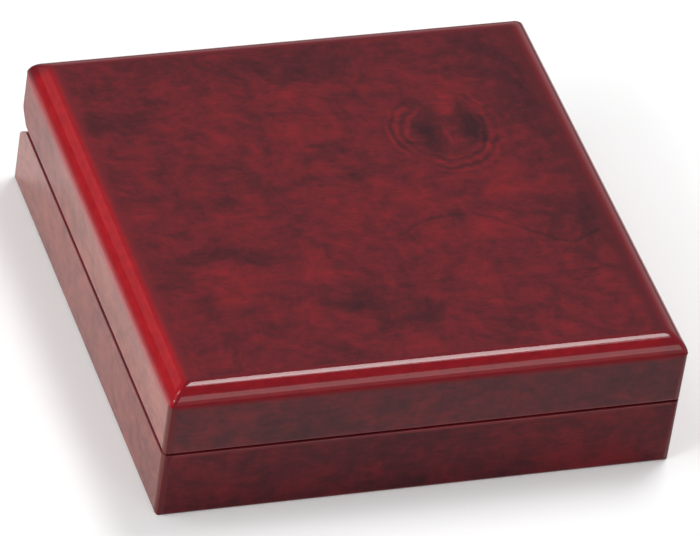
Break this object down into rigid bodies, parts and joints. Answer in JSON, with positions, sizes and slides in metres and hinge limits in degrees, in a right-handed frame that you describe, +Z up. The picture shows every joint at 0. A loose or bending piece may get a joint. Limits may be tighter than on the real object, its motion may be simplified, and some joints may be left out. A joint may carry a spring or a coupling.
{
  "type": "presentation case",
  "caption": "Flat square presentation case with burl veneer, a bullnosed lid hinged in a rear notch, a padded satin lining and a velour insert with a round recess.",
  "frame": {"origin": "middle of the underside, at the height of the surface the case stands on", "axes": "+X to the right seen from the front, -Y to the front, +Y to the hinges, +Z up"},
  "size_m": [0.15, 0.15, 0.0432],
  "materials": {
    "lacquered_wood": "polished stained hardwood under clear lacquer",
    "red_lacquer": "bright red stain under high-gloss lacquer",
    "burl_veneer": "dark red burl veneer under high-gloss lacquer",
    "velour": "short-pile velour",
    "satin": "woven satin",
    "felt": "matt pressed felt",
    "board": "plain board",
    "brass": "polished"
  },
  "bodies": {
    "base": {"base_front_wall": "lacquered_wood", "base_right_wall": "lacquered_wood", "base_back_wall": "lacquered_wood", "base_left_wall": "lacquered_wood", "base_front_veneer": "burl_veneer", "base_right_veneer": "burl_veneer", "base_back_veneer": "burl_veneer", "base_left_veneer": "burl_veneer", "base_front_liner": "velour", "base_right_liner": "velour", "base_back_liner": "velour", "base_left_liner": "velour", "base_floor_panel": "board", "underside_felt": "felt", "insert_support": "velour", "medal_insert": "velour", "left_hinge_base_leaf": "brass", "left_hinge_pin": "brass", "left_hinge_base_screws": "brass", "right_hinge_base_leaf": "brass", "right_hinge_pin": "brass", "right_hinge_base_screws": "brass"},
    "lid": {"lid_front_wall": "lacquered_wood", "lid_right_wall": "lacquered_wood", "lid_back_wall": "lacquered_wood", "lid_left_wall": "lacquered_wood", "lid_front_veneer": "burl_veneer", "lid_right_veneer": "burl_veneer", "lid_back_veneer": "burl_veneer", "lid_left_veneer": "burl_veneer", "lid_front_liner": "satin", "lid_right_liner": "satin", "lid_back_liner": "satin", "lid_left_liner": "satin", "lid_top_panel": "red_lacquer", "lid_top_veneer": "burl_veneer", "lid_pad_board": "board", "lid_satin_pad": "satin", "left_hinge_lid_leaf": "brass", "left_hinge_lid_screws": "brass", "right_hinge_lid_leaf": "brass", "right_hinge_lid_screws": "brass"}
  },
  "joints": [
    {"name": "lid_hinge", "type": "hinge", "parent": "base", "child": "lid", "pos_m": [0, 0.069, 0.0218], "axis": [-1, 0, 0], "range_deg": [0, 97]}
  ]
}
